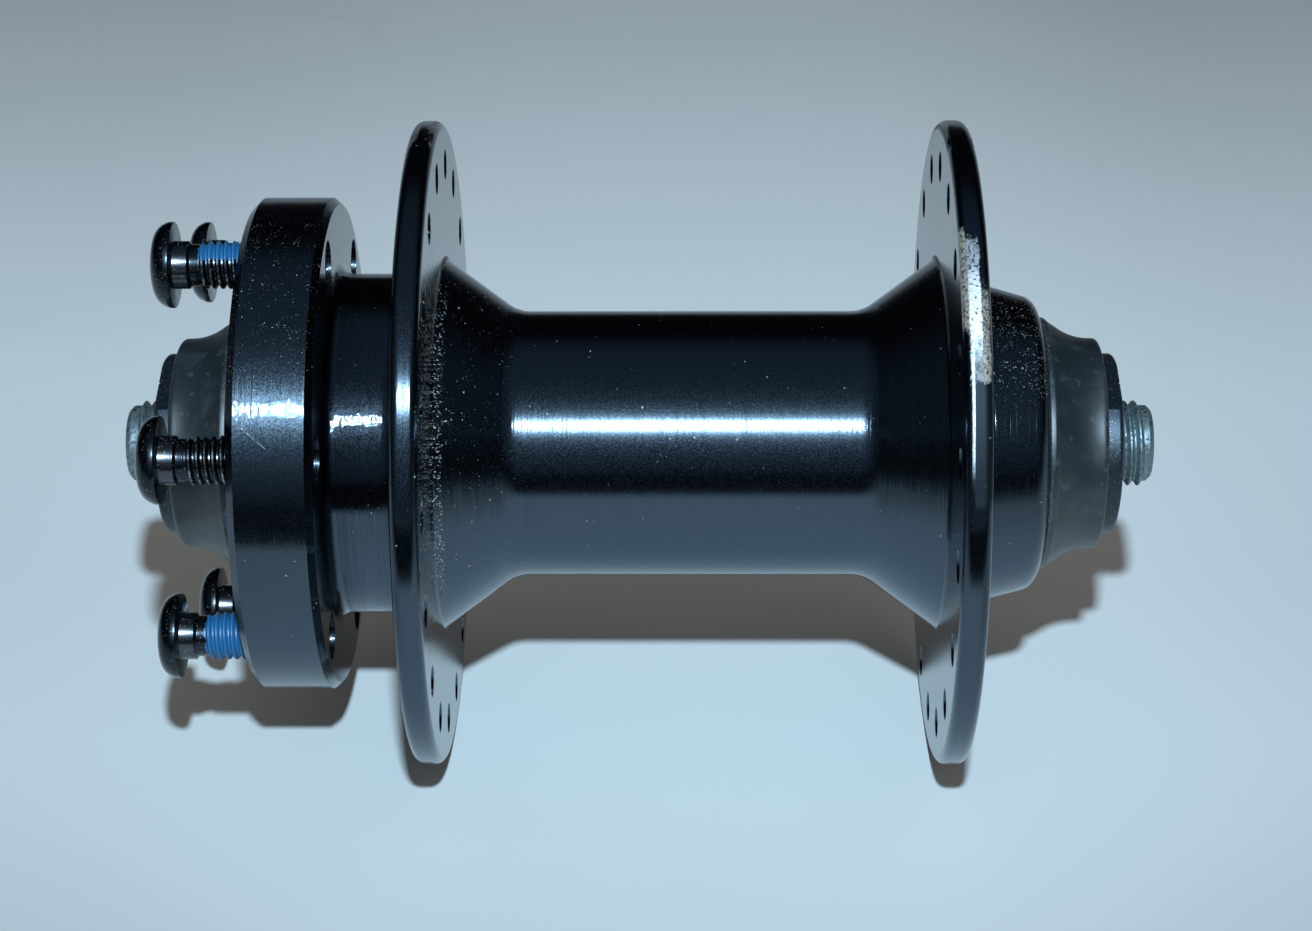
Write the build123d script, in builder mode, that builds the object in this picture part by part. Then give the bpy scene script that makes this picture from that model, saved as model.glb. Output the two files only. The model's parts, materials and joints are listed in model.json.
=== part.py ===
"""Disc brake front hub: cup and cone bearings, hollow quick-release axle, six-bolt rotor mount.

Millimetres. The axle lies along Y, its middle is the origin, +Y points to the disc side (the bike's
left) and +Z points up. Pieces that come in pairs are drawn on the disc side and mirrored.
"""
from build123d import *
import os

# Axle and the face that clamps in the fork
over_locknut = 100.0
axle_stub = 4.0
axle_d = 9.0
axle_pitch = 1.0
axle_thread_depth = 0.5
axle_crest = 0.2
skewer_bore_d = 5.4
axle_end_chamfer = 0.6
skewer_bore_chamfer = 0.4
thread_gap = 0.02
wrench_angle = 107.0

# Locknut, with a ring outside the boot and a body that the boot grips
locknut_length = 4.6
locknut_body_d = 17.2
locknut_ring_step = 0.9
locknut_ring_width = 1.7
locknut_flat_depth = 0.8
locknut_edge_round = 0.5
serration_count = 24
serration_width = 0.55
serration_depth = 0.3
serration_inset = 1.0

# Lock washer between locknut and cone
washer_thickness = 1.4
washer_d = 15.2

# Ball bearing, the same on both sides
ball_d = 4.763
ball_count = 9
ball_circle_d = 18.0
race_gap = 0.04

# Cone, on the axle's thread
cone_tail = 7.6
cone_neck_d = 15.2
cone_flat_depth = 1.1
cone_flat_width = 1.4
cone_shoulder_length = 2.4
cone_shoulder_relief = 0.1
cone_nose_length = 1.8

# Cup, pressed into the shell
cup_wall = 1.0
cup_floor = 0.7
cup_mouth = 2.5
press_gap = 0.01

# Ball retainer: a ring with one finger between each two balls
retainer_thickness = 0.5
retainer_ball_gap = 0.22
retainer_race_gap = 0.25
finger_width = 0.9
finger_inset = 0.2

# Dust cap, pressed into the shell's mouth
cap_step = 0.2
cap_depth = 2.0
cap_wall = 0.6
cap_running_gap = 0.4

# Seal on the cone's neck
seal_thickness = 0.8
seal_lip = 0.35
seal_lip_width = 0.6
seal_running_gap = 0.25
seal_boot_gap = 1.5

# Rubber dust boot
boot_gap = 0.3
boot_wall = 1.2
boot_collar_wall = 2.55
boot_flare = 2.2
boot_end_wall = 1.4
boot_end_round = 0.3
boot_seat_gap = 0.02

# Hub shell
barrel_d = 28.0
bore_d = 18.0
flange_d = 68.0
flange_thickness = 2.8
flange_rim_round = 1.0
right_flange_inset = 15.95
flare_root_d = 39.2
flare_run = 7.7
flare_blend = 3.5
root_fillet = 0.6
neck_bolt_gap = 1.5
neck_mount_round = 1.3
neck_flange_round = 2.4
neck_length = 8.25
boss_root_d = 34.8
boss_mouth_wall = 2.55
boss_end_round = 2.0
shell_mouth = 5.4

# Spoke holes, with the two flanges half a step apart
spoke_count = 18
spoke_hole_d = 2.6
spoke_rim_distance = 4.5
spoke_countersink = 0.35
left_spoke_angle = 6.0

# Rotor mount
rotor_face_inset = 10.0
rotor_circle_d = 44.0
mount_edge = 4.0
mount_thickness = 8.5
mount_face_chamfer = 0.8
mount_back_chamfer = 0.7
pilot_bolt_gap = 2.05
pilot_height = 1.2

# Rotor bolts, each backed out of the mount by its own distance
bolt_count = 6
bolt_angle = 36.4
bolt_backed_out = (7.05, 7.1, 6.8, 6.95, 6.45, 6.5)
bolt_d = 4.9
bolt_gap = 0.05
bolt_length = 10.0
bolt_shoulder = 1.5
bolt_pitch = 0.8
bolt_thread_depth = 0.4
bolt_crest = 0.2
bolt_tip_chamfer = 0.5
head_d = 8.8
head_height = 2.15
head_rim = 0.5
head_crown_d = 5.6
socket_d = 4.4
socket_core_d = 3.44
socket_lobe_d = 0.85
socket_depth = 1.8

# Places along the axle, worked out from the locknut faces inwards
half_width = over_locknut / 2
axle_end_y = half_width + axle_stub
ring_y = half_width - locknut_ring_width
locknut_y = half_width - locknut_length
washer_y = locknut_y - washer_thickness
ball_y = washer_y - cone_tail
rotor_face_y = half_width - rotor_face_inset
pilot_y = rotor_face_y + pilot_height
mount_back_y = rotor_face_y - mount_thickness
left_flange_outer_y = mount_back_y - neck_length
left_flange_inner_y = left_flange_outer_y - flange_thickness
right_flange_outer_y = -(half_width - right_flange_inset)
right_flange_inner_y = right_flange_outer_y + flange_thickness
right_end_y = -(ball_y + shell_mouth)

# Radii that follow from the fits
axle_r = axle_d / 2
thread_r = axle_r + thread_gap
ball_r = ball_d / 2
pitch_r = ball_circle_d / 2
race_r = ball_r + race_gap
cup_inner_r = pitch_r + race_r
cup_r = cup_inner_r + cup_wall
cup_seat_r = cup_r + press_gap
cap_r = cup_seat_r + cap_step
cap_seat_r = cap_r + press_gap
cone_shoulder_r = pitch_r - cone_shoulder_relief
cone_neck_r = cone_neck_d / 2
cone_flats = cone_neck_d - 2 * cone_flat_depth
cone_shoulder_y = ball_y + race_r + cone_shoulder_length
cup_bottom_y = ball_y - race_r - cup_floor
cup_mouth_y = ball_y + cup_mouth
cap_hole_r = cone_shoulder_r + cap_running_gap
cap_y = cup_mouth_y + cap_depth
locknut_body_r = locknut_body_d / 2
boot_seat_r = locknut_body_r + boot_seat_gap
boot_collar_r = locknut_body_r + boot_collar_wall
boot_skirt_r = boot_collar_r + boot_flare
boot_edge_y = max(pilot_y, -right_end_y) + boot_gap
locknut_ring_r = locknut_body_r + locknut_ring_step
locknut_flats = 2 * (locknut_ring_r - locknut_flat_depth)
boss_root_r = boss_root_d / 2
boss_end_r = cap_seat_r + boss_mouth_wall
hole_r = bolt_d / 2 + bolt_gap
rotor_circle_r = rotor_circle_d / 2
mount_r = rotor_circle_r + mount_edge
neck_r = rotor_circle_r - hole_r - neck_bolt_gap
pilot_r = rotor_circle_r - hole_r - pilot_bolt_gap
barrel_r = barrel_d / 2
flange_r = flange_d / 2
flare_root_r = flare_root_d / 2
spoke_circle_r = flange_r - spoke_rim_distance
rim_round = min(flange_rim_round, 0.4 * flange_thickness)

# Sizes that differ by less than this are the same
match = 1e-6

os.makedirs("parts", exist_ok=True)


def ring(inner_r, outer_r, low_y, high_y, mode=Mode.ADD):
    """Add a plain ring about the axle, from one place along it to another."""
    with BuildSketch() as section:
        with Locations(((inner_r + outer_r) / 2, (low_y + high_y) / 2)):
            Rectangle(outer_r - inner_r, high_y - low_y)
    revolve(section.sketch, axis=Axis.Y, mode=mode)


def rings_of(builder, radius):
    """Pick a part's round edges that have this radius about the axle."""
    on_axle = lambda e: abs(e.arc_center.X) < match and abs(e.arc_center.Z) < match
    round_edges = builder.edges().filter_by(GeomType.CIRCLE).filter_by(on_axle)
    return round_edges.filter_by(lambda e: abs(e.radius - radius) < match)


def thread_rings(outer_r, start_y, turns, pitch, crest, depth):
    """Cut a thread's grooves, drawn as rings, out of a half section."""
    half_groove = (pitch - crest) / 2
    for turn in range(turns):
        groove_y = start_y + pitch * (turn + 0.5)
        with BuildLine() as groove:
            Polyline(
                (outer_r, groove_y - half_groove),
                (outer_r - depth, groove_y),
                (outer_r, groove_y + half_groove),
                close=True,
            )
        make_face(groove.edges(), mode=Mode.SUBTRACT)


def at_y(y):
    """The plane square to the axle at y, seen with X to the right and Z up."""
    return Plane.XZ.offset(-y)


def save(builder, name):
    """Label a finished piece and write it."""
    builder.part.label = name
    export_step(builder.part, f"parts/{name}.step")


def save_pair(builder, name):
    """Write a piece of the disc side and its mirror image on the other side."""
    save(builder, name + "_left")
    with BuildPart() as other:
        mirror(builder.part, about=Plane.XZ)
    save(other, name + "_right")


# Hub shell: one turned forging with rotor mount, neck, two spoke flanges, barrel and right boss
with BuildPart() as hub_shell:
    with BuildSketch():
        with BuildLine():
            Polyline(
                (0, pilot_y),
                (pilot_r, pilot_y),
                (pilot_r, rotor_face_y),
                (mount_r, rotor_face_y),
                (mount_r, mount_back_y),
                (neck_r, mount_back_y),
                (neck_r, left_flange_outer_y),
                (flange_r, left_flange_outer_y),
                (flange_r, left_flange_inner_y),
                (flare_root_r, left_flange_inner_y),
                (barrel_r, left_flange_inner_y - flare_run),
                (barrel_r, right_flange_inner_y + flare_run),
                (flare_root_r, right_flange_inner_y),
                (flange_r, right_flange_inner_y),
                (flange_r, right_flange_outer_y),
                (boss_root_r, right_flange_outer_y),
                (boss_end_r, right_end_y),
                (0, right_end_y),
                close=True,
            )
        make_face()
    revolve(axis=Axis.Y)
    fillet(rings_of(hub_shell, barrel_r), flare_blend)
    fillet(rings_of(hub_shell, flange_r), rim_round)
    fillet(rings_of(hub_shell, boss_end_r), boss_end_round)
    fillet(rings_of(hub_shell, neck_r).sort_by(Axis.Y)[0], neck_flange_round)
    fillet(rings_of(hub_shell, neck_r).sort_by(Axis.Y)[-1], neck_mount_round)
    for root_r in (flare_root_r, boss_root_r):
        fillet(rings_of(hub_shell, root_r), root_fillet)
    mount_rims = rings_of(hub_shell, mount_r).sort_by(Axis.Y)
    chamfer(mount_rims[0], mount_back_chamfer)
    chamfer(rings_of(hub_shell, mount_r).sort_by(Axis.Y)[-1], mount_face_chamfer)
    # The way through for the axle, a seat for each cup and a wider one for each dust cap
    ring(0, bore_d / 2, right_end_y, pilot_y, mode=Mode.SUBTRACT)
    ring(0, cup_seat_r, cup_bottom_y, cup_mouth_y, mode=Mode.SUBTRACT)
    ring(0, cap_seat_r, cup_mouth_y, pilot_y, mode=Mode.SUBTRACT)
    ring(0, cup_seat_r, -cup_mouth_y, -cup_bottom_y, mode=Mode.SUBTRACT)
    ring(0, cap_seat_r, right_end_y, -cup_mouth_y, mode=Mode.SUBTRACT)
    # Spoke holes, countersunk on both faces
    half_step = 180 / spoke_count
    for face_y, first_angle in (
        (left_flange_outer_y, left_spoke_angle),
        (right_flange_inner_y, left_spoke_angle - half_step),
    ):
        with BuildSketch(at_y(face_y)):
            with PolarLocations(spoke_circle_r, spoke_count, start_angle=first_angle):
                Circle(spoke_hole_d / 2)
        extrude(amount=flange_thickness, mode=Mode.SUBTRACT)
    hole_rims = hub_shell.edges().filter_by(GeomType.CIRCLE)
    hole_rims = hole_rims.filter_by(lambda e: abs(e.radius - spoke_hole_d / 2) < match)
    chamfer(hole_rims, spoke_countersink)
    # Tapped holes for the rotor bolts
    with BuildSketch(at_y(rotor_face_y)):
        with PolarLocations(rotor_circle_r, bolt_count, start_angle=bolt_angle):
            Circle(hole_r)
    extrude(amount=mount_thickness, mode=Mode.SUBTRACT)
save(hub_shell, "hub_shell")

# Axle: a tube for the quick-release skewer, its thread drawn as rings where it shows
with BuildPart() as axle:
    with BuildSketch():
        with BuildLine():
            skewer_r = skewer_bore_d / 2
            Polyline(
                (skewer_r, 0),
                (axle_r, 0),
                (axle_r, axle_end_y - axle_end_chamfer),
                (axle_r - axle_end_chamfer, axle_end_y),
                (skewer_r + skewer_bore_chamfer, axle_end_y),
                (skewer_r, axle_end_y - skewer_bore_chamfer),
                close=True,
            )
        make_face()
        axle_turns = max(1, int((axle_stub - axle_end_chamfer) / axle_pitch))
        thread_rings(axle_r, half_width, axle_turns, axle_pitch, axle_crest, axle_thread_depth)
        mirror(about=Plane.XZ)
    revolve(axis=Axis.Y)
save(axle, "axle")

# Cone: the inner race, with a shoulder behind it and a neck with two wrench flats
with BuildPart() as cone:
    with BuildSketch():
        with BuildLine():
            shoulder_start_y = ball_y + (race_r**2 - (pitch_r - cone_shoulder_r) ** 2) ** 0.5
            race_middle = (pitch_r - race_r * 2**-0.5, ball_y + race_r * 2**-0.5)
            ThreePointArc((pitch_r - race_r, ball_y), race_middle, (cone_shoulder_r, shoulder_start_y))
            Polyline(
                (cone_shoulder_r, shoulder_start_y),
                (cone_shoulder_r, cone_shoulder_y),
                (cone_neck_r, cone_shoulder_y),
                (cone_neck_r, washer_y),
                (thread_r, washer_y),
                (thread_r, ball_y - cone_nose_length),
                (pitch_r - race_r, ball_y - cone_nose_length),
                (pitch_r - race_r, ball_y),
            )
        make_face()
    revolve(axis=Axis.Y)
    with BuildSketch(at_y(washer_y)):
        Circle(cone_neck_r)
        Rectangle(cone_flats, cone_neck_d, rotation=wrench_angle, mode=Mode.SUBTRACT)
    extrude(amount=cone_flat_width, mode=Mode.SUBTRACT)
save_pair(cone, "cone")

# Lock washer
with BuildPart() as lock_washer:
    ring(thread_r, washer_d / 2, washer_y, locknut_y)
save_pair(lock_washer, "lock_washer")

# Locknut: round, with two wrench flats across its ring and a serrated face that bites the dropout
with BuildPart() as locknut:
    ring(thread_r, locknut_body_r, locknut_y, ring_y)
    ring(thread_r, locknut_ring_r, ring_y, half_width)
    fillet(rings_of(locknut, locknut_ring_r).sort_by(Axis.Y)[-1], locknut_edge_round)
    with BuildSketch(at_y(half_width)):
        Circle(locknut_ring_r)
        Rectangle(locknut_flats, 2 * locknut_ring_r, rotation=wrench_angle, mode=Mode.SUBTRACT)
    extrude(amount=locknut_ring_width, mode=Mode.SUBTRACT)
    serration_inner_r = axle_r + serration_inset
    serration_outer_r = locknut_flats / 2
    serration_length = serration_outer_r - serration_inner_r
    serration_r = serration_inner_r + serration_length / 2
    with BuildSketch(at_y(half_width)):
        with PolarLocations(serration_r, serration_count):
            Rectangle(serration_length, serration_width)
    extrude(amount=serration_depth, mode=Mode.SUBTRACT)
save_pair(locknut, "locknut")

# Bearing cup: the outer race, open towards the hub's end
with BuildPart() as bearing_cup:
    with BuildSketch():
        with BuildLine():
            race_middle = (pitch_r + race_r * 2**-0.5, ball_y - race_r * 2**-0.5)
            ThreePointArc((pitch_r, ball_y - race_r), race_middle, (cup_inner_r, ball_y))
            Polyline(
                (cup_inner_r, ball_y),
                (cup_inner_r, cup_mouth_y),
                (cup_r, cup_mouth_y),
                (cup_r, cup_bottom_y),
                (pitch_r, cup_bottom_y),
                (pitch_r, ball_y - race_r),
            )
        make_face()
    revolve(axis=Axis.Y)
save_pair(bearing_cup, "bearing_cup")

# Balls
with BuildPart(at_y(ball_y)) as balls:
    with PolarLocations(pitch_r, ball_count):
        Sphere(ball_r)
save_pair(balls, "balls")

# Ball retainer
with BuildPart() as ball_retainer:
    retainer_y = ball_y + ball_r + retainer_ball_gap
    retainer_inner_r = cone_shoulder_r + retainer_race_gap
    retainer_outer_r = cup_inner_r - retainer_race_gap
    ring(retainer_inner_r, retainer_outer_r, retainer_y, retainer_y + retainer_thickness)
    with BuildSketch(at_y(retainer_y)):
        finger_length = retainer_outer_r - retainer_inner_r - 2 * finger_inset
        finger_r = (retainer_inner_r + retainer_outer_r) / 2
        with PolarLocations(finger_r, ball_count, start_angle=180 / ball_count):
            Rectangle(finger_length, finger_width)
    extrude(amount=retainer_y - ball_y)
save_pair(ball_retainer, "ball_retainer")

# Dust cap: a web round the cone's shoulder, with a skirt that holds it in the shell
with BuildPart() as dust_cap:
    ring(cap_hole_r, cap_r, cap_y - cap_wall, cap_y)
    ring(cap_r - cap_wall, cap_r, cup_mouth_y, cap_y - cap_wall)
save_pair(dust_cap, "dust_cap")

# Seal: a rubber washer on the cone's neck, with a lip that runs just clear of the dust cap
with BuildPart() as seal:
    seal_lip_y = max(cap_y, cone_shoulder_y) + seal_running_gap
    seal_y = seal_lip_y + seal_lip
    seal_r = boot_skirt_r - boot_wall - seal_boot_gap
    ring(cone_neck_r + thread_gap, seal_r, seal_y, seal_y + seal_thickness)
    ring(seal_r - seal_lip_width, seal_r, seal_lip_y, seal_y)
save_pair(seal, "seal")

# Dust boot: a rubber bell that grips the locknut and covers the cone
with BuildPart() as dust_boot:
    boot_inner_y = ring_y - boot_end_wall
    with BuildSketch():
        with BuildLine():
            TangentArc((boot_collar_r, ring_y), (boot_skirt_r, boot_edge_y), tangent=(0, -1))
            Polyline(
                (boot_skirt_r, boot_edge_y),
                (boot_skirt_r - boot_wall, boot_edge_y),
            )
            TangentArc(
                (boot_collar_r - boot_wall, boot_inner_y),
                (boot_skirt_r - boot_wall, boot_edge_y),
                tangent=(0, -1),
            )
            Polyline(
                (boot_collar_r - boot_wall, boot_inner_y),
                (boot_seat_r, boot_inner_y),
                (boot_seat_r, ring_y),
                (boot_collar_r, ring_y),
            )
        make_face()
    revolve(axis=Axis.Y)
    fillet(rings_of(dust_boot, boot_collar_r), boot_end_round)
save_pair(dust_boot, "dust_boot")

# Rotor bolt: a button head with a six-lobed socket, its thread drawn as rings, seated at y = 0
with BuildPart() as rotor_bolt:
    with BuildSketch():
        with BuildLine():
            Polyline(
                (head_crown_d / 2, head_height),
                (0, head_height),
                (0, -bolt_length),
                (bolt_d / 2 - bolt_tip_chamfer, -bolt_length),
                (bolt_d / 2, bolt_tip_chamfer - bolt_length),
                (bolt_d / 2, 0),
                (head_d / 2, 0),
                (head_d / 2, head_rim),
            )
            TangentArc(
                (head_d / 2, head_rim),
                (head_crown_d / 2, head_height),
                tangent=(-head_rim / 2, head_rim),
            )
        make_face()
        thread_y = bolt_tip_chamfer - bolt_length
        bolt_turns = int((-bolt_shoulder - thread_y) / bolt_pitch)
        thread_rings(bolt_d / 2, thread_y, bolt_turns, bolt_pitch, bolt_crest, bolt_thread_depth)
    revolve(axis=Axis.Y)
    with BuildSketch(at_y(head_height)):
        Circle(socket_core_d / 2)
        with PolarLocations((socket_d - socket_lobe_d) / 2, 6):
            Circle(socket_lobe_d / 2)
    extrude(amount=socket_depth, mode=Mode.SUBTRACT)

# The six rotor bolts, each part of the way out of its hole
for number, backed_out in enumerate(bolt_backed_out):
    hole = Vector(rotor_circle_r, rotor_face_y + backed_out, 0)
    angle = bolt_angle + number * 360 / bolt_count
    with BuildPart() as disc_bolt:
        with Locations(hole.rotate(Axis.Y, -angle)):
            add(rotor_bolt.part)
    save(disc_bolt, f"disc_bolt_{number + 1}")
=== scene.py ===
"""Disc brake front hub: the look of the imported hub, its floor, light and camera.

The hub lies on a pale table with its axle along Y and the rotor mount at positive Y. The studio is in
metres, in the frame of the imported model. Pieces and finishes give sizes in millimetres and angles in degrees.
"""

from __future__ import annotations

import json
import logging
import math
from collections.abc import Callable
from dataclasses import dataclass
from enum import Enum
from typing import Any

import bmesh
import bpy
from mathutils import Matrix, Vector

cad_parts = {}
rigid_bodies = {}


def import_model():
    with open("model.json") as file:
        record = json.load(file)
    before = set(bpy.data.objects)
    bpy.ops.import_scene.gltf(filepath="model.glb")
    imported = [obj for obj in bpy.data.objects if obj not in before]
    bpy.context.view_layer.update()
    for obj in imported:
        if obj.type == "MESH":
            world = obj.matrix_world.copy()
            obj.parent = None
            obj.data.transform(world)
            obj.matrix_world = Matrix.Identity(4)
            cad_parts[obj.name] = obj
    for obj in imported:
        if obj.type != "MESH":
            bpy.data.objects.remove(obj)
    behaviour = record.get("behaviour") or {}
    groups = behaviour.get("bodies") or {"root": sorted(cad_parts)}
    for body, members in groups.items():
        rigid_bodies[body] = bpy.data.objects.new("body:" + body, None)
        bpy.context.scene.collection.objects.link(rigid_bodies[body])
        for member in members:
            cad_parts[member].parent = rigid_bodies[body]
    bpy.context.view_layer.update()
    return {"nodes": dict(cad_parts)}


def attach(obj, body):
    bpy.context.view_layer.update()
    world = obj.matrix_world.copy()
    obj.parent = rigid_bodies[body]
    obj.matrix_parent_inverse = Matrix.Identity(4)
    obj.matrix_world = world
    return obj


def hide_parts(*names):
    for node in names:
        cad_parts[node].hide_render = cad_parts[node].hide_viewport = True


LOG = logging.getLogger("hub")
MM = 0.001

Object = bpy.types.Object
Material = bpy.types.Material
Socket = bpy.types.NodeSocket
Edge = bmesh.types.BMEdge
Vert = bmesh.types.BMVert
Colour = tuple[float, float, float]
Place = tuple[float, float, float]
Point = tuple[float, float]

# The front faces the camera, this many degrees above the table
FRONT = 28.0
FRONT_RUN = math.cos(math.radians(FRONT))
FRONT_RISE = math.sin(math.radians(FRONT))


class Slot(Enum):
    """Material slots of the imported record."""

    SHELL = "anodised_black"
    ZINC = "zinc_steel"
    RACE = "race_steel"
    PLAIN = "plain_steel"
    POLISHED = "polished_steel"
    BLACK = "black_steel"
    RUBBER = "rubber"
    BOLT = "bolt_black"


class Side(Enum):
    """The hub's two sides, with the sign of their places along the axle."""

    LEFT = 1
    RIGHT = -1


class Nook(Enum):
    """Where dust gathers on the shell."""

    ROOT = "foot of the left flange"
    FLARE = "left flare"
    MOUNT = "top of the rotor mount"
    BOSS = "top of the right boss"
    CLUSTER = "chance clusters"


@dataclass(frozen=True)
class Grain:
    """Soft noise: its features to the unit, its finer layers and how strong those are."""

    scale: float
    detail: float = 2.0
    rough: float = 0.5


@dataclass(frozen=True)
class Ramp:
    """How a mask comes up: where it is 0, where it is full and its share there."""

    start: float
    full: float
    share: float = 1.0


@dataclass(frozen=True)
class Zone:
    """A stretch in which a mask is 1, and how far outside it the mask reaches 0."""

    low: float
    high: float
    soft: float


@dataclass(frozen=True)
class Cloud:
    """Soft patches: noise, and the ramp on which it becomes a mask."""

    grain: Grain
    ramp: Ramp


@dataclass(frozen=True)
class Flecks:
    """Small ragged grains: how many to the unit, the noise above which one shows, and their share."""

    scale: float
    level: float
    share: float = 1.0


@dataclass(frozen=True)
class Wire:
    """A number that a shader socket carries, on which arithmetic adds Math nodes."""

    bench: Bench
    socket: Socket

    def _math(self, operation: str, *values: Wire | float) -> Wire:
        """Return the result of a new Math node on these values."""
        node = self.bench.node("ShaderNodeMath", {"operation": operation}, dict(enumerate(values)))
        return Wire(self.bench, node.outputs[0])

    def __add__(self, other: Wire | float) -> Wire:
        """Return the sum."""
        return self._math("ADD", self, other)

    __radd__ = __add__

    def __sub__(self, other: Wire | float) -> Wire:
        """Return this less the other."""
        return self._math("SUBTRACT", self, other)

    def __rsub__(self, other: Wire | float) -> Wire:
        """Return the other less this."""
        return self._math("SUBTRACT", other, self)

    def __mul__(self, other: Wire | float) -> Wire:
        """Return the product."""
        return self._math("MULTIPLY", self, other)

    __rmul__ = __mul__

    def __truediv__(self, other: Wire | float) -> Wire:
        """Return the quotient."""
        return self._math("DIVIDE", self, other)

    def __pow__(self, power: float) -> Wire:
        """Return this to a power."""
        return self._math("POWER", self, power)

    def __abs__(self) -> Wire:
        """Return the size without its sign."""
        return self._math("ABSOLUTE", self)

    def cosine(self) -> Wire:
        """Return the cosine of this angle in radians."""
        return self._math("COSINE", self)

    def angle_with(self, across: Wire) -> Wire:
        """Return the angle, in radians, of the point (across, this)."""
        return self._math("ARCTAN2", self, across)

    def larger(self, other: Wire | float) -> Wire:
        """Return the larger of the two."""
        return self._math("MAXIMUM", self, other)

    def smaller(self, other: Wire | float) -> Wire:
        """Return the smaller of the two."""
        return self._math("MINIMUM", self, other)

    def rises(self, start: Wire | float, full: Wire | float, share: float = 1.0) -> Wire:
        """Return a mask that comes up smoothly.

        Args:
            start: Where the mask is 0.
            full: Where the mask is full, which may be lower.
            share: The full mask.

        Returns:
            The mask.
        """
        inputs = {"Value": self, "From Min": start, "From Max": full, "To Max": share}
        node = self.bench.node("ShaderNodeMapRange", {"interpolation_type": "SMOOTHSTEP"}, inputs)
        return Wire(self.bench, node.outputs[0])

    def on(self, ramp: Ramp) -> Wire:
        """Return the mask that comes up along a ramp."""
        return self.rises(ramp.start, ramp.full, ramp.share)

    def within(self, zone: Zone) -> Wire:
        """Return the mask of a zone."""
        return self.rises(zone.low - zone.soft, zone.low) * self.rises(zone.high + zone.soft, zone.high)


@dataclass(frozen=True)
class Spot:
    """The shaded point, and about an axle its place along, radius, turn from the front and direction."""

    place: Socket
    y: Wire
    radius: Wire
    turn: Wire
    cos: Wire
    sin: Wire


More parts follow.
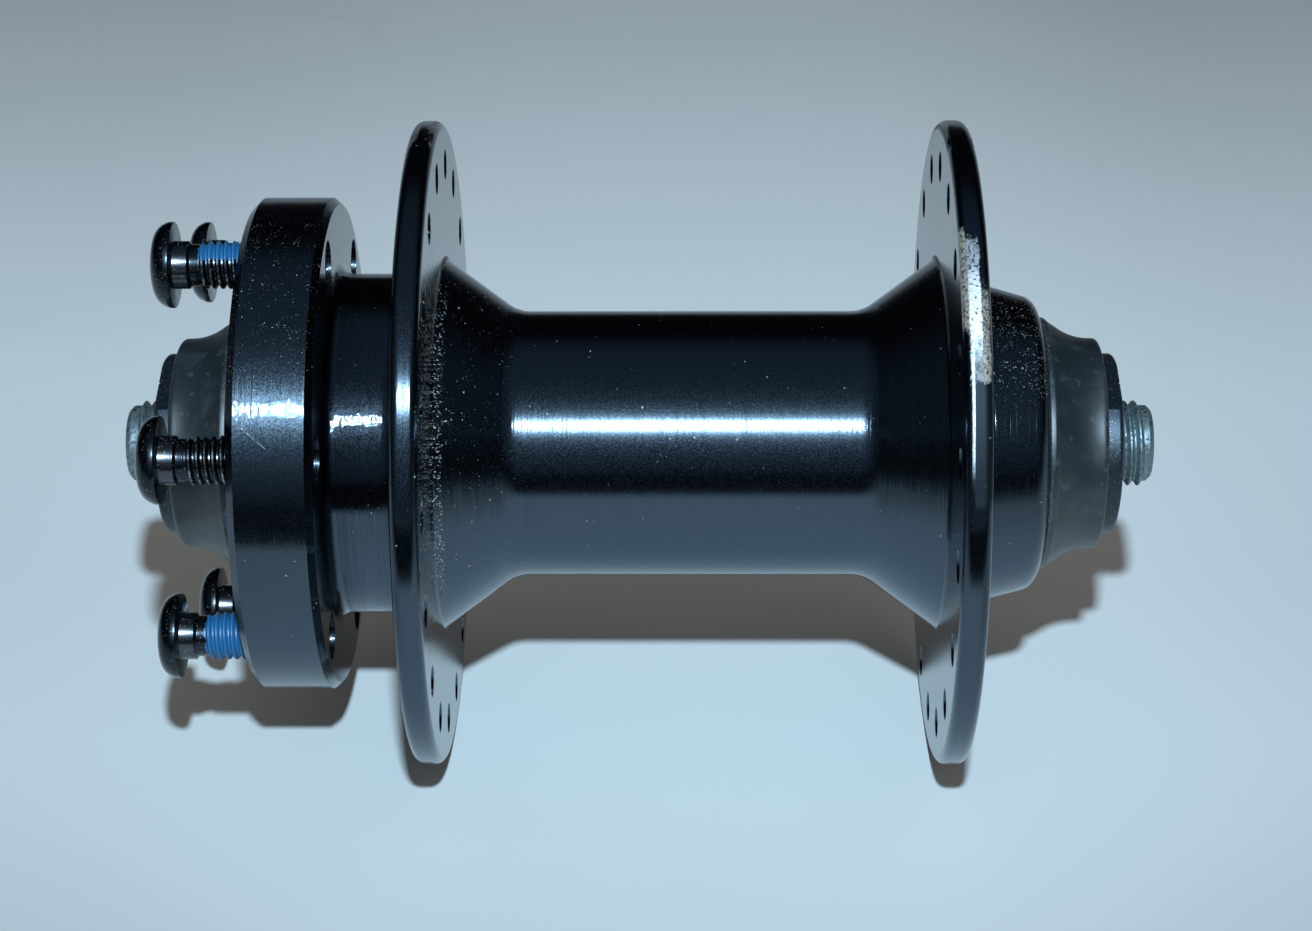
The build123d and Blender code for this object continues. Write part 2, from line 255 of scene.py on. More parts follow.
class Bench:
    """A node tree under construction."""

    FLECK_DETAIL = 1.5
    FLECK_EDGE = 0.03
    BUMP_FILTER = 0.02

    def __init__(self, tree: bpy.types.NodeTree) -> None:
        """Empty the tree and keep it."""
        self.tree = tree
        tree.nodes.clear()

    def node(
        self,
        kind: str,
        settings: dict[str, Any] | None = None,
        inputs: dict[str | int, Any] | None = None,
    ) -> bpy.types.Node:
        """Add a node of any type.

        Args:
            kind: The node's type name.
            settings: Its own settings, set before its sockets.
            inputs: Values, wires or sockets for its inputs, by name or number.

        Returns:
            The new node.
        """
        node = self.tree.nodes.new(kind)
        for name, value in (settings or {}).items():
            setattr(node, name, value)
        for name, value in (inputs or {}).items():
            source = value.socket if isinstance(value, Wire) else value
            if isinstance(source, Socket):
                self.tree.links.new(source, node.inputs[name])
            else:
                node.inputs[name].default_value = self._fitted(node.inputs[name], source)
        return node

    @staticmethod
    def _fitted(socket: Socket, value: Any) -> Any:
        """Return a three-part colour with the fourth part that a colour socket needs."""
        return (*value, 1.0) if socket.type == "RGBA" and len(value) == 3 else value

    def place(self) -> Socket:
        """Return the Object coordinates in millimetres."""
        metres = self.node("ShaderNodeTexCoord").outputs["Object"]
        return self.node("ShaderNodeMapping", None, {"Vector": metres, "Scale": (1 / MM,) * 3}).outputs[0]

    def parts(self, vector: Socket) -> tuple[Wire, Wire, Wire]:
        """Return the three parts of a vector."""
        outputs = self.node("ShaderNodeSeparateXYZ", None, {0: vector}).outputs
        return tuple(Wire(self, part) for part in outputs)

    def vector(self, x: Wire | float, y: Wire | float, z: Wire | float) -> Socket:
        """Return a vector of three parts."""
        return self.node("ShaderNodeCombineXYZ", None, {0: x, 1: y, 2: z}).outputs[0]

    def spot(self, axle: Point = (0.0, 0.0)) -> Spot:
        """Return the shaded point as seen along an axle parallel to Y.

        Args:
            axle: The axle's place across and up.

        Returns:
            The point.
        """
        place = self.place()
        x, y, z = self.parts(place)
        x, z = x - axle[0], z - axle[1]
        ahead = z * FRONT_RISE - x * FRONT_RUN
        above = x * FRONT_RISE + z * FRONT_RUN
        radius = (x * x + z * z) ** 0.5
        return Spot(place, y, radius, above.angle_with(ahead) * (180 / math.pi), x / radius, z / radius)

    def unrolled(self, spot: Spot, stretch: Place) -> Socket:
        """Return the point's place along, round and out from its axle, each stretched."""
        return self.vector(spot.y * stretch[0], spot.turn * stretch[1], spot.radius * stretch[2])

    def noise(self, vector: Socket, grain: Grain) -> Wire:
        """Return soft noise about 0.5, read at a vector."""
        inputs = {"Vector": vector, "Scale": grain.scale, "Detail": grain.detail, "Roughness": grain.rough}
        return Wire(self, self.node("ShaderNodeTexNoise", None, inputs).outputs[0])

    def cloud(self, vector: Socket, cloud: Cloud) -> Wire:
        """Return a mask of soft patches, read at a vector."""
        return self.noise(vector, cloud.grain).on(cloud.ramp)

    def flecks(self, vector: Socket, flecks: Flecks, crowd: Wire | float = 0.0) -> Wire:
        """Return a mask of small ragged grains.

        Args:
            vector: Where it is read.
            flecks: The grains.
            crowd: How far their level drops, so that more of them show.

        Returns:
            The mask.
        """
        level = flecks.level - crowd
        noise = self.noise(vector, Grain(flecks.scale, self.FLECK_DETAIL))
        return noise.rises(level, level + self.FLECK_EDGE, flecks.share)

    def mix(self, mask: Wire, low: Any, high: Any) -> Socket:
        """Return one colour or socket where the mask is 0 and the other where it is 1."""
        return self.node("ShaderNodeMix", {"data_type": "RGBA"}, {0: mask, 6: low, 7: high}).outputs[2]

    def bump(self, height: Wire, depth: float) -> Socket:
        """Return a normal bent by a height, whose 1 stands for this depth in millimetres."""
        inputs = {"Height": height, "Distance": depth * MM, "Filter Width": self.BUMP_FILTER}
        return self.node("ShaderNodeBump", None, inputs).outputs[0]

    def surface(self, **inputs: Any) -> None:
        """Add the Principled shader and wire it to the output.

        Args:
            inputs: Its sockets, by name with _ for a space.
        """
        named = {name.replace("_", " "): value for name, value in inputs.items()}
        shader = self.node("ShaderNodeBsdfPrincipled", None, named)
        self.node("ShaderNodeOutputMaterial", None, {"Surface": shader.outputs[0]})


def new_material(name: str) -> tuple[Material, Bench]:
    """Make an empty material.

    Args:
        name: Its name.

    Returns:
        The material and the bench for its nodes.
    """
    material = bpy.data.materials.new(name)
    material.use_nodes = True
    return material, Bench(material.node_tree)


@dataclass(frozen=True)
class Worn:
    """Masks of a worn rim: bare metal, whose thin line along one edge is a painted highlight, the rubbed and
    dusty edges beside it and the rougher part below it, whose colour is painted shade.
    """

    bare: Wire
    rubbed: Wire
    dull_and_shade: Wire


@dataclass(frozen=True)
class RimWear:
    """Where the right flange's rim is worn, along the axle and round it, and where a highlight and shade are
    painted on it.
    """

    rim: Ramp = Ramp(32.6, 32.9)
    ragged: Grain = Grain(0.9, 4.0, 0.7)
    ragged_y: float = 0.7
    ragged_turn: float = 7.0
    band_y: Zone = Zone(-33.75, -31.85, 0.12)
    band_turn: Zone = Zone(10.0, 35.0, 1.0)
    metal_y: Ramp = Ramp(-33.15, -33.0)
    beside_turn: Ramp = Ramp(27.0, 24.0)
    edge_y: Zone = Zone(-31.75, -31.3, 0.15)
    edge_turn: Zone = Zone(19.0, 37.0, 1.5)
    # Painted highlight: a thin line of bright bare metal along one edge of the rim, drawn only over the turns
    # where the lamp's highlight falls on that polished edge
    tail_y: Zone = Zone(-32.2, -31.95, 0.06)
    edge_highlight_turn: Zone = Zone(-3.0, 12.0, 5.0)
    tail_share: float = 0.6
    # Painted shade: below the wear, the rim's colour is darkened over the turns where the lamp's highlight
    # falls, which dims it; the roughness added there is real
    dull_y: Zone = Zone(-33.9, -32.3, 0.1)
    highlight_shade_turn: Zone = Zone(-8.0, 12.0, 4.0)
    chips: Flecks = Flecks(3.0, 0.62, 0.6)
    mottled: Cloud = Cloud(Grain(3.2, 3.0, 0.7), Ramp(0.3, 0.6, 0.75))

    def masks(self, bench: Bench, spot: Spot) -> Worn:
        """Mask the wear.

        Args:
            bench: The material's bench.
            spot: The shaded point.

        Returns:
            The masks.
        """
        ragged = bench.noise(spot.place, self.ragged) - 0.5
        y = spot.y + ragged * self.ragged_y
        turn = spot.turn + ragged * self.ragged_turn
        rim = spot.radius.on(self.rim)
        whole = (1.0 - bench.flecks(spot.place, self.chips)) * rim
        mottled = bench.cloud(spot.place, self.mottled) + (1.0 - self.mottled.ramp.share)
        band = y.within(self.band_y) * turn.within(self.band_turn)
        metal = y.on(self.metal_y)
        beside = band * (1.0 - metal) * turn.on(self.beside_turn)
        edge = y.within(self.edge_y) * turn.within(self.edge_turn)
        # Painted highlight along the rim's edge
        edge_highlight = spot.y.within(self.tail_y) * spot.turn.within(self.edge_highlight_turn) * self.tail_share
        return Worn(
            bare=(band * metal).larger(edge_highlight) * whole,
            rubbed=edge.larger(beside) * mottled * whole,
            dull_and_shade=spot.y.within(self.dull_y) * spot.turn.within(self.highlight_shade_turn) * rim,
        )


@dataclass(frozen=True)
class Dust:
    """One kind of dust: its grains, and how much each nook crowds them."""

    grains: Flecks
    crowds: dict[Nook, float]

    def mask(self, bench: Bench, vector: Socket, nooks: dict[Nook, Wire]) -> Wire:
        """Return the mask of this dust, read at a vector, from the masks of the nooks."""
        first, *others = [nooks[nook] * crowd for nook, crowd in self.crowds.items()]
        return bench.flecks(vector, self.grains, sum(others, first))


@dataclass(frozen=True)
class ShellDust:
    """Dust, lint, a thin film and one scratch on the shell, and the nooks where they gather."""

    root_y: Zone = Zone(19.6, 20.6, 0.5)
    root_radius: Zone = Zone(18.5, 32.0, 3.0)
    root_turn: Zone = Zone(-45.0, 45.0, 30.0)
    flare_y: Zone = Zone(13.5, 19.0, 2.0)
    mount_y: Ramp = Ramp(31.4, 31.6)
    mount_turn: Zone = Zone(18.0, 60.0, 12.0)
    boss_y: Zone = Zone(-41.5, -35.0, 0.8)
    boss_turn: Zone = Zone(22.0, 60.0, 14.0)
    clusters: Cloud = Cloud(Grain(0.35, 3.0, 0.6), Ramp(0.5, 0.75))
    coarse: Dust = Dust(
        Flecks(2.6, 0.77), {Nook.ROOT: 0.03, Nook.FLARE: 0.04, Nook.BOSS: 0.05, Nook.CLUSTER: 0.06}
    )
    fine: Dust = Dust(
        Flecks(6.5, 0.79),
        {Nook.ROOT: 0.06, Nook.FLARE: 0.06, Nook.MOUNT: 0.09, Nook.BOSS: 0.14, Nook.CLUSTER: 0.06},
    )
    lint: Dust = Dust(Flecks(1.0, 0.82), {Nook.MOUNT: 0.04, Nook.CLUSTER: 0.05})
    lint_stretch: Place = (3.2, 0.45, 1.0)
    face: Dust = Dust(Flecks(1.0, 0.85), {Nook.ROOT: 0.22})
    face_stretch: Place = (4.0, 2.5, 0.6)
    face_least: float = 0.85
    thinned: Cloud = Cloud(Grain(1.1), Ramp(0.3, 0.7))
    film: Cloud = Cloud(Grain(0.5, 5.0, 0.7), Ramp(0.5, 0.9, 0.2))
    scratch_start: Point = (38.3, 3.2)
    scratch_stop: Point = (35.6, -1.9)
    scratch_width: float = 0.12

    def _nooks(self, bench: Bench, spot: Spot) -> dict[Nook, Wire]:
        """Mask the nooks.

        Args:
            bench: The material's bench.
            spot: The shaded point.

        Returns:
            The mask of each nook.
        """
        root = spot.y.within(self.root_y) * spot.radius.within(self.root_radius)
        return {
            Nook.ROOT: root * spot.turn.within(self.root_turn),
            Nook.FLARE: spot.y.within(self.flare_y),
            Nook.MOUNT: spot.y.on(self.mount_y) * spot.turn.within(self.mount_turn),
            Nook.BOSS: spot.y.within(self.boss_y) * spot.turn.within(self.boss_turn),
            Nook.CLUSTER: bench.cloud(spot.place, self.clusters),
        }

    def _scratch(self, spot: Spot) -> Wire:
        """Mask the scratch, which is straight on the unrolled surface.

        Args:
            spot: The shaded point.

        Returns:
            The mask.
        """
        start, run = Vector(self.scratch_start), Vector(self.scratch_stop) - Vector(self.scratch_start)
        ahead, (along, across) = run.normalized(), (spot.y - start.x, spot.turn - start.y)
        aside = abs(across * ahead.x - along * ahead.y).rises(self.scratch_width / 2, 0.0)
        reach = Zone(0.0, run.length, self.scratch_width)
        return (along * ahead.x + across * ahead.y).within(reach) * aside

    def mask(self, bench: Bench, spot: Spot) -> Wire:
        """Mask all of it.

        Args:
            bench: The material's bench.
            spot: The shaded point.

        Returns:
            The mask.
        """
        nooks = self._nooks(bench, spot)
        thinned = bench.cloud(spot.place, self.thinned)
        coarse = self.coarse.mask(bench, spot.place, nooks)
        fine = self.fine.mask(bench, spot.place, nooks)
        lint = self.lint.mask(bench, bench.unrolled(spot, self.lint_stretch), nooks)
        face = self.face.mask(bench, bench.unrolled(spot, self.face_stretch), nooks)
        face = face * nooks[Nook.CLUSTER].larger(self.face_least)
        film = bench.cloud(spot.place, self.film) * nooks[Nook.ROOT]
        patchy = coarse.larger(fine).larger(self._scratch(spot)) * thinned
        return patchy.larger(lint).larger(face).larger(film).smaller(1.0)


@dataclass(frozen=True)
class ShellFinish:
    """Gloss black anodised aluminium, turned, scuffed, dusty in its nooks and worn bare on one rim.

    The neck and the rotor mount are glossier than the turned barrel, and scuffs haze the mount the most.
    """

    sheen: Colour = (0.082, 0.106, 0.13)
    bare: Colour = (0.85, 0.85, 0.84)
    # Partly real tarnished metal, partly painted shade that dims the lamp's highlight on the bare rim
    tarnish_and_shade: Colour = (0.36, 0.38, 0.39)
    rubbed: Colour = (0.36, 0.31, 0.25)
    # Painted shade: the deep sheen that dims the lamp's highlight on the right rim
    highlight_shade: Colour = (0.022, 0.028, 0.033)
    dusty: Colour = (0.42, 0.42, 0.39)
    wear: RimWear = RimWear()
    dust: ShellDust = ShellDust()
    # Bare metal mottles at random between a tarnished tone and bright metal, and is painted fully bright over
    # one band of turns as a painted highlight of a worn facet; the tarnished tone elsewhere on the band is
    # partly painted shade that dims the lamp's highlight
    clean: Cloud = Cloud(Grain(1.7, 5.0, 0.7), Ramp(0.36, 0.6, 0.6))
    painted_highlight_turn: Zone = Zone(19.5, 27.0, 3.0)
    rubbed_cover: float = 0.85
    line: Grain = Grain(1.0, 1.0)
    line_pitch: float = 0.04
    line_depth: float = 0.014
    dent: Grain = Grain(3.0, 3.0, 0.6)
    dent_height: float = 4.5
    gloss: float = 0.03
    turned: float = 0.115
    neck_y: Ramp = Ramp(23.2, 23.4)
    mount_y: Ramp = Ramp(31.3, 31.5)
    scuff: Grain = Grain(22.0, 1.0)
    scuff_level: float = 0.63
    scuff_edge: float = 0.04
    neck_scuffs: float = 0.03
    mount_scuffs: float = 0.09
    scuff_haze: float = 0.25
    dust_haze: float = 0.4
    bare_haze: float = 0.45
    dull_haze: float = 0.4

    def build(self) -> Material:
        """Build the material.

        Returns:
            The finished material.
        """
        material, bench = new_material("shell_anodised")
        spot = bench.spot()
        worn = self.wear.masks(bench, spot)
        dirt = self.dust.mask(bench, spot) * (1.0 - worn.bare)
        line = bench.noise(bench.vector(spot.cos, spot.y / self.line_pitch, spot.sin), self.line)
        dent = bench.noise(spot.place, self.dent) * self.dent_height
        # Painted highlight: bare metal fully bright over one band of turns, with painted shade in the tarnished
        # tone elsewhere
        clean = bench.cloud(spot.place, self.clean) + spot.turn.within(self.painted_highlight_turn)
        metal = bench.mix(clean.smaller(1.0), self.tarnish_and_shade, self.bare)
        # Painted shade where the lamp's highlight falls on the right rim
        sheen = bench.mix(worn.dull_and_shade, self.sheen, self.highlight_shade)
        colour = bench.mix(worn.bare, bench.mix(dirt, sheen, self.dusty), metal)
        haze = dirt * self.dust_haze + worn.bare * self.bare_haze + worn.dull_and_shade * self.dull_haze
        bench.surface(
            Base_Color=bench.mix(worn.rubbed, colour, self.rubbed),
            Metallic=(1.0 - dirt) * (1.0 - worn.rubbed * self.rubbed_cover),
            Roughness=self._roughness(bench, spot) + haze,
            Normal=bench.bump(line * (1.0 - worn.bare) + dent * worn.bare, self.line_depth),
        )
        return material

    def _roughness(self, bench: Bench, spot: Spot) -> Wire:
        """Return the roughness where the shell is clean and whole.

        Args:
            bench: The material's bench.
            spot: The shaded point.

        Returns:
            The roughness.
        """
        neck, mount = spot.y.on(self.neck_y), spot.y.on(self.mount_y)
        level = self.scuff_level - neck * self.neck_scuffs - mount * self.mount_scuffs
        noise = bench.noise(spot.place, self.scuff)
        scuffs = noise.rises(level, level + self.scuff_edge, self.scuff_haze)
        return (1.0 - neck) * self.turned + self.gloss + scuffs


@dataclass(frozen=True)
class MetalFinish:
    """A bare or plated metal with fine turning marks, paler patches and a little dirt."""

    name: str
    colour: Colour
    rough: float
    dirt: Colour = (0.05, 0.045, 0.04)
    dirty: Cloud = Cloud(Grain(1.4, 5.0, 0.65), Ramp(0.44, 0.64, 0.5))
    dirt_haze: float = 0.3
    dirt_cover: float = 0.8
    dirt_height: float = 2.0
    pale: Cloud = Cloud(Grain(2.6, 3.0, 0.6), Ramp(0.5, 0.7, 0.3))
    paler: float = 1.4
    line: Grain = Grain(1.0)
    line_pitch: float = 0.15
    line_depth: float = 0.002
    line_haze: float = 0.15

    def build(self) -> Material:
        """Build the material.

        Returns:
            The finished material.
        """
        material, bench = new_material(self.name)
        spot = bench.spot()
        along = (spot.y + spot.radius) / self.line_pitch
        line = bench.noise(bench.vector(spot.cos, along, spot.sin), self.line)
        dirt = bench.cloud(spot.place, self.dirty)
        pale = tuple(part * self.paler for part in self.colour)
        colour = bench.mix(bench.cloud(spot.place, self.pale), self.colour, pale)
        bench.surface(
            Base_Color=bench.mix(dirt, colour, self.dirt),
            Metallic=1.0 - dirt * self.dirt_cover,
            Roughness=line * self.line_haze + self.rough + dirt * self.dirt_haze,
            Normal=bench.bump(line + dirt * self.dirt_height, self.line_depth),
        )
        return material


@dataclass(frozen=True)
class NutFinish:
    """Satin black oxide on a steel nut, with metal glinting through where it is handled."""

    colour: Colour = (0.05, 0.062, 0.075)
    glint: Colour = (0.35, 0.37, 0.4)
    glints: Flecks = Flecks(5.0, 0.66, 0.7)
    metallic: float = 0.95
    glint_cover: float = 0.1
    grain: Grain = Grain(7.0, 3.0, 0.6)
    grain_depth: float = 0.006
    grain_haze: float = 0.3
    rough: float = 0.28

    def build(self) -> Material:
        """Build the material.

        Returns:
            The finished material.
        """
        material, bench = new_material("nut_black_oxide")
        place = bench.place()
        grain = bench.noise(place, self.grain)
        glints = bench.flecks(place, self.glints)
        bench.surface(
            Base_Color=bench.mix(glints, self.colour, self.glint),
            Metallic=self.metallic - glints * self.glint_cover,
            Roughness=grain * self.grain_haze + self.rough,
            Normal=bench.bump(grain, self.grain_depth),
        )
        return material


@dataclass(frozen=True)
class Patch:
    """Blue thread lock on one side of a bolt's thread: where it faces and how far round it reaches."""

    turn: float
    reach: float


@dataclass(frozen=True)
class BoltFinish:
    """Glossy black oxide on a rotor bolt, bright where it rubs, with thread lock on part of its thread."""

    number: int
    axle: Point
    thread_y: float
    shoulder_y: float
    shank_r: float
    patch: Patch
    oxide: Colour = (0.03, 0.038, 0.047)
    polish: Colour = (0.42, 0.43, 0.46)
    blue: Colour = (0.013, 0.108, 0.25)
    grime: Colour = (0.2, 0.2, 0.18)
    rough: float = 0.15
    coat: float = 0.2
    coat_rough: float = 0.38
    relief: float = 0.012
    grain: Grain = Grain(8.0, 3.0, 0.6)
    grain_haze: float = 0.12
    grain_height: float = 0.4
    grimy: Flecks = Flecks(4.0, 0.68, 0.6)
    grime_haze: float = 0.3
    patch_haze: float = 0.22
    patch_coat: float = 0.1
    patch_lumps: Grain = Grain(3.0, 3.0)
    patch_height: float = 3.0
    ragged: Grain = Grain(1.5, 4.0, 0.65)
    ragged_side: float = 0.5
    ragged_y: float = 1.2
    patch_side: Ramp = Ramp(-0.04, 0.04)
    patch_end: Ramp = Ramp(0.0, 0.2)
    thread_end: Ramp = Ramp(0.0, 0.05)
    shank_edge: Ramp = Ramp(0.15, 0.05)
    shoulder_edge: Ramp = Ramp(0.0, 0.05, 0.15)
    crest_edge: Ramp = Ramp(-0.12, -0.04, 0.8)
    rubbing: Cloud = Cloud(Grain(2.2, 3.0, 0.6), Ramp(0.38, 0.6))

    def build(self) -> Material:
        """Build the material.

        Returns:
            The finished material.
        """
        material, bench = new_material(f"bolt_{self.number}_black_oxide")
        spot = bench.spot(self.axle)
        patch = self._patch(bench, spot)
        bright = self._rubbed(bench, spot) * (1.0 - patch)
        grime = bench.flecks(spot.place, self.grimy) * (1.0 - patch)
        grain = bench.noise(spot.place, self.grain)
        lumps = patch * bench.noise(spot.place, self.patch_lumps)
        colour = bench.mix(grime, bench.mix(bright, self.oxide, self.polish), self.grime)
        haze = grain * self.grain_haze + patch * self.patch_haze + grime * self.grime_haze
        bench.surface(
            Base_Color=bench.mix(patch, colour, self.blue),
            Metallic=(1.0 - patch) * (1.0 - grime),
            Roughness=haze + self.rough,
            Coat_Weight=self.coat - patch * self.patch_coat,
            Coat_Roughness=self.coat_rough,
            Normal=bench.bump(grain * self.grain_height + lumps * self.patch_height, self.relief),
        )
        return material

    def _patch(self, bench: Bench, spot: Spot) -> Wire:
        """Mask the thread lock.

        Args:
            bench: The material's bench.
            spot: The shaded point about the bolt's axle.

        Returns:
            The mask.
        """
        ragged = bench.noise(spot.place, self.ragged) - 0.5
        facing = ((spot.turn - self.patch.turn) * (math.pi / 180)).cosine() + ragged * self.ragged_side
        side = (facing - math.cos(math.radians(self.patch.reach))).on(self.patch_side)
        return side * (self.thread_y - (spot.y + ragged * self.ragged_y)).on(self.patch_end)

    def _rubbed(self, bench: Bench, spot: Spot) -> Wire:
        """Mask the shoulder and the thread's crests, which rubbing has brightened.

        Args:
            bench: The material's bench.
            spot: The shaded point about the bolt's axle.

        Returns:
            The mask.
        """
        proud = spot.radius - self.shank_r
        shoulder = (spot.y - self.shoulder_y).on(self.shoulder_edge) * proud.on(self.shank_edge)
        crest = (self.thread_y - spot.y).on(self.thread_end) * proud.on(self.crest_edge)
        return shoulder.larger(crest * bench.cloud(spot.place, self.rubbing))


@dataclass(frozen=True)
class RubberFinish:
    """Matt black rubber with pale dust rubbed into it, most of all into the boots' lips."""

    colour: Colour = (0.0095, 0.0145, 0.017)
    dust: Colour = (0.15, 0.165, 0.165)
    film: Cloud = Cloud(Grain(0.3, 4.0, 0.55), Ramp(0.45, 0.85, 0.15))
    film_haze: float = 0.14
    specks: Flecks = Flecks(7.0, 0.76, 0.7)
    lip_y: Zone = Zone(42.1, 42.35, 0.15)
    lip_crowd: float = 0.16
    scuffs: Flecks = Flecks(1.0, 0.64, 0.12)
    scuff_stretch: Place = (0.8, 0.16, 1.0)
    rough: float = 0.33
    dust_haze: float = 0.2
    ior: float = 1.65
    grain: Grain = Grain(6.0, 3.0, 0.6)
    grain_depth: float = 0.012

    def build(self) -> Material:
        """Build the material.

        Returns:
            The finished material.
        """
        material, bench = new_material("boot_rubber")
        spot = bench.spot()
        film = bench.noise(spot.place, self.film.grain)
        lip = abs(spot.y).within(self.lip_y)
        specks = bench.flecks(spot.place, self.specks, lip * self.lip_crowd)
        scuffs = bench.flecks(bench.unrolled(spot, self.scuff_stretch), self.scuffs)
        dust = film.on(self.film.ramp).larger(specks).larger(scuffs)
        bench.surface(
            Base_Color=bench.mix(dust, self.colour, self.dust),
            Roughness=film * self.film_haze + self.rough + dust * self.dust_haze,
            IOR=self.ior,
            Normal=bench.bump(bench.noise(spot.place, self.grain), self.grain_depth),
        )
        return material


@dataclass(frozen=True)
class TableFinish:
    """A pale table top with faint smudges, whose colour fades away from its middle as painted shade for light
    that falls off, and far away is backdrop.
    """

    colour: Colour = (0.6, 0.615, 0.6)
    shade_and_smudge: Colour = (0.06, 0.03, 0.03)
    rough: float = 0.62
    cloud: Cloud = Cloud(Grain(0.012, 4.0, 0.6), Ramp(0.5, 0.8, 0.02))
    cloud_haze: float = 0.1
    # Painted shade: the table fades away from its middle, to the sides, behind and in front, standing in for
    # light that falls off there
    middle_y: float = -5.3
    beside: Ramp = Ramp(12.0, 100.0)
    beside_share: float = 0.19
    beside_behind: Ramp = Ramp(20.0, 90.0, 0.12)
    beside_before: Ramp = Ramp(-20.0, -60.0, 0.07)
    behind: Ramp = Ramp(0.0, 300.0, 0.46)
    before: Ramp = Ramp(0.0, -70.0, 0.25)
    right: Ramp = Ramp(-35.0, -95.0, 0.05)
    smudge: Cloud = Cloud(Grain(0.05, 3.0, 0.6), Ramp(0.58, 0.8, 0.03))
    smudged: Ramp = Ramp(40.0, 90.0)
    specks: Flecks = Flecks(0.35, 0.8, 0.05)
    far: Ramp = Ramp(300.0**2, 1500.0**2)
    glow: float = 0.45

    def build(self, backdrop: Colour) -> Material:
        """Build the material.

        Args:
            backdrop: The colour that it takes on far away.

        Returns:
            The finished material.
        """
        material, bench = new_material("table_top")
        place = bench.place()
        x, y, _ = bench.parts(place)
        cloud = bench.noise(place, self.cloud.grain)
        beside = self.beside_share - x.on(self.beside_behind) + x.on(self.beside_before)
        beside = abs(y - self.middle_y).on(self.beside) * beside
        smudge = bench.cloud(place, self.smudge) * x.on(self.smudged)
        blots = cloud.on(self.cloud.ramp) + smudge + bench.flecks(place, self.specks)
        # Painted shade away from the middle, with the real smudges and specks
        fade = beside + x.on(self.behind) + x.on(self.before) + y.on(self.right) + blots
        bench.surface(
            Base_Color=bench.mix(fade, self.colour, self.shade_and_smudge),
            Roughness=cloud * self.cloud_haze + self.rough,
            Emission_Color=bench.mix((x * x + y * y).on(self.far), (0.0, 0.0, 0.0), backdrop),
            Emission_Strength=self.glow,
        )
        return material


@dataclass(frozen=True)
class Corner:
    """A corner of a half section, with the radius of its round and the steps that draw it."""

    radius: float
    y: float
    round: float = 0.0
    steps: int = 3

    @property
    def point(self) -> Vector:
        """The corner as a flat vector."""
        return Vector((self.radius, self.y))


def soften(corners: list[Corner], closed: bool) -> list[Point]:
    """Round a half section's corners.

    Args:
        corners: Its corners, in order.
        closed: Whether the last corner joins the first.

    Returns:
        The rounded outline's points.
    """
    outline: list[Point] = []
    last = len(corners) - 1
    for place, corner in enumerate(corners):
        here = corner.point
        if not corner.round or (not closed and place in (0, last)):
            outline.append(tuple(here))
            continue
        back = (corners[place - 1].point - here).normalized()
        ahead = (corners[(place + 1) % len(corners)].point - here).normalized()
        half = back.angle(ahead) / 2
        centre = here + (back + ahead).normalized() * corner.round / math.sin(half)
        first = here + back * corner.round / math.tan(half) - centre
        sweep = first.angle_signed(here + ahead * corner.round / math.tan(half) - centre)
        for step in range(corner.steps + 1):
            spoke = first.copy()
            spoke.rotate(Matrix.Rotation(-sweep * step / corner.steps, 2))
            outline.append(tuple(centre + spoke))
    return outline


@dataclass(frozen=True)
class Thread:
    """A right-hand screw thread between two places along its axle."""

    low: float
    high: float
    pitch: float
    crest_r: float
    run_out: float = 0.4
    crest: float = 0.08
    root_flat: float = 0.03
    sunk: float = 0.06

    def fade(self, y: float) -> float:
        """Return the thread's share of its full height at a place along."""
        return max(0.0, min(1.0, (y - self.low) / self.run_out, (self.high - y) / self.run_out))


